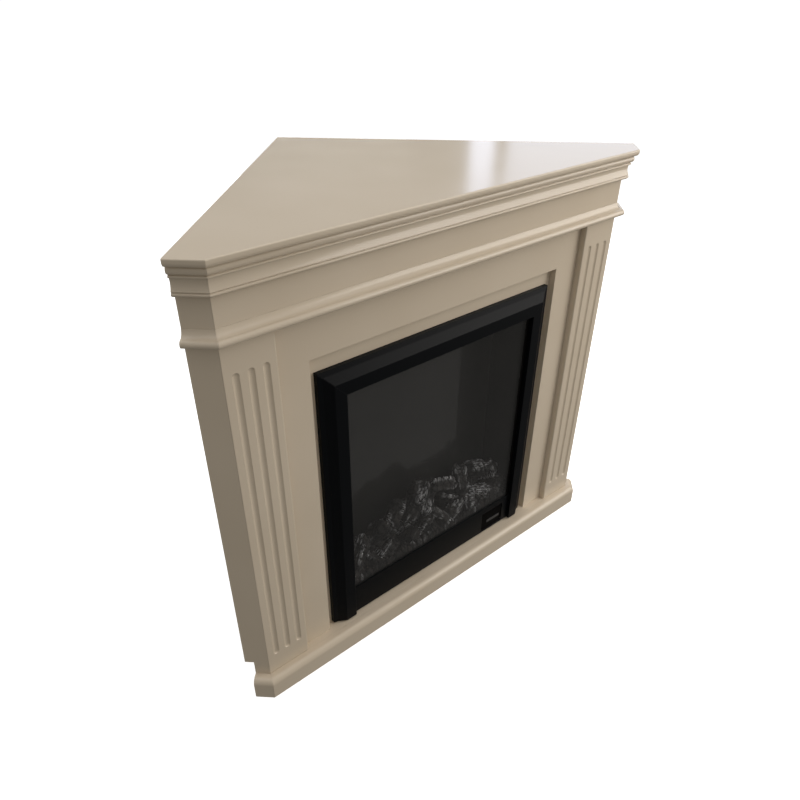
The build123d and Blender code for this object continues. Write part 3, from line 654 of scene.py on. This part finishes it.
# Each log as its place across, behind the pilaster faces and above the floor, its turn and slope in
# degrees, its length and its radius, all in millimetres.
log_layout = [
    (-250, 52, 160, 30, 6, 74, 20),
    (-196, 46, 166, -38, -28, 78, 19),
    (-140, 52, 163, 10, 22, 76, 21),
    (-84, 46, 166, -44, 38, 84, 18),
    (-30, 46, 160, 0, 40, 90, 12),
    (36, 47, 170, -30, -42, 84, 18),
    (92, 52, 165, 14, 12, 74, 21),
    (144, 47, 170, 48, 34, 80, 18),
    (196, 52, 166, -24, -10, 74, 21),
    (248, 50, 168, 20, 24, 68, 19),
    (-216, 80, 178, -34, 20, 88, 25),
    (-140, 84, 184, 30, -16, 92, 26),
    (-64, 82, 190, -22, 34, 98, 25),
    (16, 86, 192, 34, 10, 96, 27),
    (92, 82, 194, -28, -24, 98, 26),
    (164, 86, 192, 22, 14, 92, 27),
    (232, 82, 190, -40, 8, 80, 25),
    (-226, 56, 196, 24, 34, 84, 22),
    (-166, 66, 212, -26, 44, 80, 20),
    (-112, 62, 236, 16, 42, 100, 23),
    (-36, 66, 248, 12, 48, 106, 23),
    (8, 68, 232, 24, 40, 80, 20),
    (66, 76, 240, -16, -18, 84, 23),
    (126, 68, 234, 50, 30, 78, 21),
    (182, 74, 236, -34, 16, 80, 23),
    (236, 66, 232, 24, -28, 66, 20),
]
glass_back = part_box("glass_pane")[1].y
screen_low, screen_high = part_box("flame_screen")
log_tubes, log_crest, log_grain = [], [], []
for index, (x, depth, z, turn, slope, length, radius) in enumerate(log_layout):
    centre = (x * MM, front_y + depth * MM, z * MM)
    points, crest, grain = log_surface(
        centre, turn, slope, length * MM, radius * MM, index + FIRST_LOG_SEED,
    )
    log_tubes.append((points, LOG_RINGS, LOG_SIDES))
    log_crest.append(crest)
    log_grain.append(grain)
points, faces = join_tubes(log_tubes)
points[:, 1] = np.clip(points[:, 1], glass_back + 4 * MM, screen_low.y - 1 * MM)
lining_splay = 0.51  # how far each side lining comes in for each metre behind the glass
lining_gap = 3 * MM
side_limit = screen_high.x - lining_gap - lining_splay * (points[:, 1] - glass_back)
points[:, 0] = np.clip(points[:, 0], -side_limit, side_limit)
charred_logs = mesh_from(
    "charred_logs", points, faces, log_resin, np.concatenate(log_crest), np.concatenate(log_grain),
)
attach(charred_logs, "fireplace")
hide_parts("log_set")
print("logs:", len(log_layout), "with", len(faces), "faces, from", points.min(0), "to", points.max(0))


# %% [markdown]
# ## The ember bed
#
# Under the logs lies one vacuum-formed sheet of embers that runs from wall to wall of the chamber and
# from the glass to the screen. Its height is a function of place: rounded lumps where the crack
# pattern is far from a crack, with chips and finer rubble on top. The moulding below it keeps its two
# end walls. A particle system could scatter real lumps, but the real bed is one skin too.

# %% Ember heap
def ember_top(x, y, low, high):
    """Height = top + front rise + lumps + chips + rubble + swell, and how much ash each place has."""
    flat = np.stack([x, y, 0 * x], axis=-1)
    lump_gap = cracks(x + 0.3 * y + 1, y + 1, 21 * MM, 17 * MM, 5)
    chip_gap = cracks(x + 0.2 * y + 1, y + 1, 8.5 * MM, 7.5 * MM, 6)
    lump = 1 - np.exp(-(lump_gap / 0.3) ** 2)
    chips = 1 - np.exp(-(chip_gap / 0.35) ** 2)
    rubble = smooth_noise(flat, 6 * MM, 8)
    swell = smooth_noise(flat, 60 * MM, 9)
    brushed = fade(smooth_noise(flat, 17 * MM, 10), 0.5, 0.2)
    rise = fade(y, low.y, 30 * MM)
    bumps = 6 * rise + 10 * lump + 4.5 * chips + 6 * rubble + 15 * swell * rise - 10
    crest = brushed * fade(lump * rubble + 0.5 * swell, 0.62, 0.3)
    return high.z + bumps * MM, crest


EMBER_COLUMNS, EMBER_ROWS = 360, 72
EMBER_RIM, EMBER_FLOOR = 12 * MM, 16 * MM  # below the moulding's highest point


def ember_heap(low, high, columns, rows):
    """A closed block: ember_top on a grid, a low rim round it, and a flat floor below."""
    c, r = np.meshgrid(np.arange(columns), np.arange(rows), indexing="ij")
    x = np.linspace(low.x, high.x, columns)[c]
    y = np.linspace(low.y, high.y, rows)[r]
    top, crest = ember_top(x, y, low, high)
    edge = (c % (columns - 1) == 0) | (r % (rows - 1) == 0)
    roof = np.stack([x, y, np.where(edge, high.z - EMBER_RIM, top)], axis=-1).reshape(-1, 3)
    floor = np.stack([x, y, 0 * x + high.z - EMBER_FLOOR], axis=-1).reshape(-1, 3)
    here = (c * rows + r)[:-1, :-1].reshape(-1)
    up = np.stack([here, here + rows, here + rows + 1, here + 1], axis=-1)
    down = up[:, ::-1] + columns * rows
    rim = np.concatenate([
        np.arange(columns) * rows,
        (columns - 1) * rows + np.arange(1, rows),
        np.arange(columns - 2, -1, -1) * rows + rows - 1,
        np.arange(rows - 2, 0, -1),
    ])
    following = np.roll(rim, -1)
    wall = np.stack([rim, rim + columns * rows, following + columns * rows, following], axis=-1)
    faces = np.concatenate([up, down, wall]).tolist()
    crest = crest.reshape(-1)
    return np.concatenate([roof, floor]), faces, np.concatenate([crest, 0 * crest])


ember_low, ember_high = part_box("ember_bed")
points, faces, crest = ember_heap(ember_low, ember_high, EMBER_COLUMNS, EMBER_ROWS)
embers = mesh_from("ember_heap", points, faces, ember_resin, crest, points)
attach(embers, "fireplace")
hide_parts("ember_bed")
print("embers:", len(faces), "faces, top at", round(float(points[:, 2].max()), 4))


# %% [markdown]
# ## The bar on the control door
#
# A plain grey bar is set into the little door below the glass. It is a moulded strip with soft edges.
# A superellipsoid gives that in one formula: its power sets how square it is.

# %% Door bar
def signed_power(wave, power):
    """|wave|^power with the sign of the wave kept."""
    return np.sign(wave) * np.abs(wave) ** power


def soft_block(low, high, power, rings, sides):
    """Superellipsoid in a box: x = a |cos v|^p |cos u|^p and so on, each power keeping its sign."""
    v, u = np.meshgrid(
        np.linspace(-np.pi / 2, np.pi / 2, rings + 2)[1:-1],
        np.linspace(2 * np.pi, 0, sides, endpoint=False),
        indexing="ij",
    )
    middle = (np.array(low) + np.array(high)) / 2
    reach = (np.array(high) - np.array(low)) / 2
    ring = signed_power(np.cos(v), power)
    shape = np.stack([
        ring * signed_power(np.cos(u), power),
        signed_power(np.sin(v), power),
        ring * signed_power(np.sin(u), power),
    ], axis=-1)
    poles = middle + reach * np.array([[0, -1, 0], [0, 1, 0]])
    return np.concatenate([(shape * reach + middle).reshape(-1, 3), poles])


BAR_RINGS, BAR_SIDES, BAR_SQUARENESS = 33, 96, 0.25
door_low, door_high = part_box("control_door")
bar_low = (door_low.x + 17 * MM, door_low.y - 0.1 * MM, door_low.z + 20.5 * MM)
bar_high = (door_high.x - 7 * MM, door_low.y + 1.2 * MM, door_low.z + 29.5 * MM)
points = soft_block(bar_low, bar_high, BAR_SQUARENESS, BAR_RINGS, BAR_SIDES)
door_bar = mesh_from("door_bar", points, tube_faces(BAR_RINGS, BAR_SIDES, 0), bar_abs)
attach(door_bar, "door")
print("door bar from", bar_low, "to", bar_high)


# %% [markdown]
# ## Marks on the control panel
#
# Behind the door the panel is pad-printed in pale grey ink: a plain scale round the thermostat, a bar
# and a ring by the rocker, a flame by the upper button and three waves by the lower one. Each mark is
# a stroke, a flat oval section carried along a path drawn on the panel, so the ink has a thickness.

# %% One printed stroke
STROKE_SIDES = 10
INK_PROUD = 0.2 * MM
BROAD_INK, MEDIUM_INK, FINE_INK = 0.7 * MM, 0.6 * MM, 0.5 * MM
panel_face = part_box("control_panel")[0].y


def stroke(path, width):
    """A tube along a path of x and z: centre + normal x half width x cos + ink height x sin."""
    count = len(path)
    tangent = np.gradient(path, axis=0)
    tangent = tangent / np.linalg.norm(tangent, axis=1, keepdims=True)
    beside = np.stack([-tangent[:, 1], 0 * tangent[:, 0], tangent[:, 0]], axis=-1)
    centre = np.stack([path[:, 0], np.full(count, panel_face), path[:, 1]], axis=-1)
    taper = (1 - np.abs(np.linspace(-0.97, 0.97, count)) ** 8) ** 0.5
    spin = np.linspace(0, 2 * np.pi, STROKE_SIDES, endpoint=False)
    across = (taper * width / 2)[:, None, None] * np.cos(spin)[None, :, None] * beside[:, None, :]
    proud = (taper * INK_PROUD)[:, None, None] * np.sin(spin)[None, :, None] * np.array([0, -1, 0])
    rings = centre[:, None, :] + across + proud
    points = np.concatenate([rings.reshape(-1, 3), centre[:1], centre[-1:]])
    return points, count, STROKE_SIDES


way = np.linspace(0, 1, 24)[:, None]  # along a straight stroke
turn = 2 * np.pi * np.linspace(0, 1, 48)  # round a closed one
print("panel face at", round(panel_face, 4))


# %% The thermostat's scale
knob_low, knob_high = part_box("thermostat_knob")
knob_centre = np.array([(knob_low.x + knob_high.x) / 2, (knob_low.z + knob_high.z) / 2])
scale_inner = 12.4 * MM
strokes = []
for index, angle in enumerate(np.radians(np.linspace(-135, 135, 11))):
    outward = np.array([np.sin(angle), np.cos(angle)])
    reach = scale_inner + way * (1.0 + 0.16 * index) * MM
    strokes.append(stroke(knob_centre + reach * outward, BROAD_INK))
print("scale marks:", len(strokes))


# %% Bar and ring by the rocker
switch_low, switch_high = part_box("main_switch")
switch_x = (switch_low.x + switch_high.x) / 2
bar_foot = np.array([switch_x, switch_high.z + 2.4 * MM])
ring_z = switch_low.z - 4.2 * MM
ring_radius = 1.7 * MM
ring = np.stack([switch_x + ring_radius * np.cos(turn), ring_z + ring_radius * np.sin(turn)], axis=-1)
strokes.append(stroke(bar_foot + way * 3.2 * MM * np.array([0, 1]), BROAD_INK))
strokes.append(stroke(ring, MEDIUM_INK))
print("bar foot at", bar_foot, "ring centre at height", round(ring_z, 4))


# %% Flame and waves by the buttons
def mark_centre(button):
    """The point halfway between the rocker and a button, at the button's height."""
    button_low, button_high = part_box(button)
    return (button_low.x + switch_high.x) / 2, (button_low.z + button_high.z) / 2


flame_x, flame_z = mark_centre("flame_button")
drop = 1.9 * MM * np.sin(turn) * np.sin(turn / 2) ** 2
flame = np.stack([flame_x + drop, flame_z + 2.6 * MM * np.cos(turn)], axis=-1)
strokes.append(stroke(flame, MEDIUM_INK))

wave_x, wave_z = mark_centre("heat_button")
wave_tall, wave_sway = 5 * MM, 0.45 * MM
for offset in (-2.0, 0.0, 2.0):
    rise = wave_z + (way[:, 0] - 0.5) * wave_tall
    sway = wave_x + offset * MM + wave_sway * np.sin(4 * np.pi * way[:, 0])
    strokes.append(stroke(np.stack([sway, rise], axis=-1), FINE_INK))

points, faces = join_tubes(strokes)
panel_marks = mesh_from("panel_marks", points, faces, pad_ink)
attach(panel_marks, "fireplace")
print("panel marks:", len(strokes), "strokes", len(faces), "faces")


# %% [markdown]
# ## Screws in the back of the housing
#
# The housing's back sheet is held by self-tapping pan-head screws. A pan head is a surface of
# revolution: a low dome on a short rim. A cross is pressed into it, where the dome sinks within a
# narrow band on either side of two lines.

# %% Pan heads
HEAD_RINGS, HEAD_SIDES = 22, 48
RIM_LEVELS = np.array([-0.2, 0.1, 0.3])  # the first ring is inside the sheet
back_low, back_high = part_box("housing_back")
back_face = back_high.y


def pan_head(x, z, radius):
    """Dome height = h (1 - r^4), less a cross-shaped sink, on a rim that starts inside the sheet."""
    dome_r = np.linspace(1, 0.04, HEAD_RINGS - len(RIM_LEVELS))
    r = np.concatenate([np.ones(len(RIM_LEVELS)), dome_r])[:, None]
    spin = np.linspace(2 * np.pi, 0, HEAD_SIDES, endpoint=False)[None, :]
    across, up = r * np.cos(spin), r * np.sin(spin)
    slot_band = np.exp(-(np.minimum(np.abs(across), np.abs(up)) / 0.14) ** 4)
    cross = slot_band * fade(0.62 - r, 0, 0.1)
    level = np.concatenate([RIM_LEVELS, RIM_LEVELS[-1] + 0.45 * (1 - dome_r ** 4)])[:, None]
    out = (level - 0.5 * cross) * 0.62 * radius
    grid = np.stack([x + radius * across, back_face + out, z + radius * up], axis=-1)
    poles = np.array([[x, back_face - 0.1 * radius, z], [x, back_face + 0.16 * radius, z]])
    return np.concatenate([grid.reshape(-1, 3), poles]), HEAD_RINGS, HEAD_SIDES


screw_inset = 9 * MM
columns = (back_low.x + screw_inset, back_high.x - screw_inset)
heights = np.linspace(back_low.z + 2 * screw_inset, back_high.z - 2 * screw_inset, 5)
head_radius = 3.6 * MM
heads = [pan_head(x, z, head_radius) for x in columns for z in heights]
points, faces = join_tubes(heads)
back_screws = mesh_from("back_screws", points, faces, screw_plating)
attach(back_screws, "fireplace")
print("screws:", len(heads), "from", points.min(0), "to", points.max(0))


# %% [markdown]
# ## The floor
#
# The mantel stands on a plain pale floor: matt off-white paper with a faint grain. It glows a little
# by itself, so that it meets the backdrop without a dark line, and it is hidden from bounced light
# and reflections, so that its glow doesn't lighten the mantel.

# %% Floor
def floor_paper():
    """Matt off-white paper with a faint grain and a soft glow."""
    material, tree, shader, place = start_material("studio_floor_paper", {
        "Roughness": 0.9, "Emission Color": (1, 1, 1, 1), "Emission Strength": 0.68,
    })
    grain = add_node(tree, "ShaderNodeTexNoise", {
        "Vector": place, "Scale": per_metre(4), "Detail": 2.0,
    })
    tone = add_node(tree, "ShaderNodeValToRGB", {"Fac": grain.outputs["Fac"]}, ramp={
        0: "#f4f4f3", 1: "#fbfbfa",
    })
    set_sockets(tree, shader, {"Base Color": tone.outputs["Color"]})
    return material


floor_reach = 300.0
floor_corners = floor_reach * np.array([[-1, -1, 0], [1, -1, 0], [1, 1, 0], [-1, 1, 0]])
studio_floor = mesh_from("studio_floor", floor_corners, [(0, 1, 2, 3)], floor_paper())
studio_floor.visible_diffuse = False
studio_floor.visible_glossy = False
print("floor:", 2 * floor_reach, "metres wide")


# %% [markdown]
# ## Light
#
# A tall soft window light far behind the right end of the mantel skims the shelf: its polished top
# mirrors the window as a cool white patch, while the front faces, turned away from it, stay in the
# soft light of the room. Two lights behind the mantel show its open back.

# %% Lights
def soft_light(name, place, target, width, tall, power, colour):
    """A rectangular area light that faces a point."""
    light = bpy.data.lights.new(name, "AREA")
    light.shape = "RECTANGLE"
    light.size = width
    light.size_y = tall
    light.energy = power
    light.color = linear(colour)[:3]
    lamp = bpy.data.objects.new(name, light)
    lamp.location = place
    lamp.rotation_euler = (Vector(target) - Vector(place)).to_track_quat("-Z", "Y").to_euler()
    bpy.context.collection.objects.link(lamp)


shelf_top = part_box("mantel_shelf")[1].z
window_height = shelf_top + 0.95
shelf_right = (0.3, -0.1, shelf_top)
firebox = (0.2, front_y, 0.5)
housing_middle = (0, 0.1, 0.5)
# Each light as its name, place, target, width, height, power in watts, and colour.
light_plan = [
    ("window", (3.45, 1.59, window_height), shelf_right, 1.5, 1.5, 8.6, "#dfe9ff"),
    ("side_window", (2.94, 2.33, window_height), shelf_right, 0.17, 1.5, 1.5, "#dfe9ff"),
    ("room_light", (2.0, -1.9, 1.45), firebox, 2.0, 2.0, 39, "#fffbf6"),
    ("ceiling", (0.2, -0.1, 3.4), (0, 0, 0.5), 4.0, 4.0, 40, "#fcfcff"),
    ("back_left", (-2.3, 2.9, 1.0), housing_middle, 1.4, 1.4, 26, "#fffdf8"),
    ("back_right", (2.4, 3.4, 0.7), housing_middle, 1.2, 1.2, 26, "#fffdf8"),
]
for light_row in light_plan:
    soft_light(*light_row)
print("lights:", [light_row[0] for light_row in light_plan])


# %% [markdown]
# ## Room fill and backdrop
#
# The rest of the room is a weak warm fill from all round. It is dimmer below the horizon, so that the
# glass, seen from above, doesn't mirror a bright floor. The camera itself sees a plain backdrop.

# %% World
world = bpy.data.worlds.new("room_fill")
bpy.context.scene.world = world
world.use_nodes = True
room = world.node_tree
fill = room.nodes["Background"]
direction = add_node(room, "ShaderNodeTexCoord", {}).outputs["Generated"]
height = add_node(room, "ShaderNodeSeparateXYZ", {"Vector": direction}).outputs["Z"]
strength = add_node(room, "ShaderNodeMapRange", {
    "Value": height, "From Min": -0.25, "From Max": 0.25, "To Min": 0.18, "To Max": 0.39,
})
set_sockets(room, fill, {"Color": linear("#fffcf6"), "Strength": strength.outputs["Result"]})
backdrop = add_node(room, "ShaderNodeBackground", {"Color": linear("#fdfdfc")})
seen = add_node(room, "ShaderNodeLightPath", {}).outputs["Is Camera Ray"]
FILL_INPUT, BACKDROP_INPUT = 1, 2  # a Mix Shader's two shader sockets share one name
either = add_node(room, "ShaderNodeMixShader", {
    "Fac": seen,
    FILL_INPUT: fill.outputs["Background"],
    BACKDROP_INPUT: backdrop.outputs["Background"],
})
set_sockets(room, room.nodes["World Output"], {"Surface": either.outputs["Shader"]})
print("world nodes:", len(room.nodes))


# %% [markdown]
# ## Camera
#
# The mantel is seen from its left, by someone who stands close and looks down at it. A camera's axes
# can be written from three angles: its turn to the right, its tilt above the horizon and its roll.

# %% Camera
def look(place, turn, tilt, roll):
    """Camera axes from its turn to the right of +Y, its tilt above the horizon and its roll."""
    forward = Vector((np.sin(turn) * np.cos(tilt), np.cos(turn) * np.cos(tilt), np.sin(tilt)))
    level = Vector((np.cos(turn), -np.sin(turn), 0))
    above = level.cross(forward)
    right = level * np.cos(roll) + above * np.sin(roll)
    up = above * np.cos(roll) - level * np.sin(roll)
    return Matrix.Translation(place) @ Matrix((right, up, -forward)).transposed().to_4x4()


eye = (-0.9794, front_y - 0.9318, 1.3448)
eye_turn, eye_tilt, eye_roll = np.radians([41.525, -36.389, 0.294])
lens = bpy.data.cameras.new("viewer")
lens.sensor_width = 36  # millimetres, a full-frame sensor
lens.lens = 31.616  # focal length in millimetres
lens.shift_x, lens.shift_y = 0.0039, 0.0916
viewer = bpy.data.objects.new("viewer", lens)
viewer.matrix_world = look(eye, eye_turn, eye_tilt, eye_roll)
bpy.context.collection.objects.link(viewer)
bpy.context.scene.camera = viewer
bpy.context.scene.view_settings.view_transform = "Standard"
print("camera at", [round(v, 3) for v in viewer.matrix_world.translation])
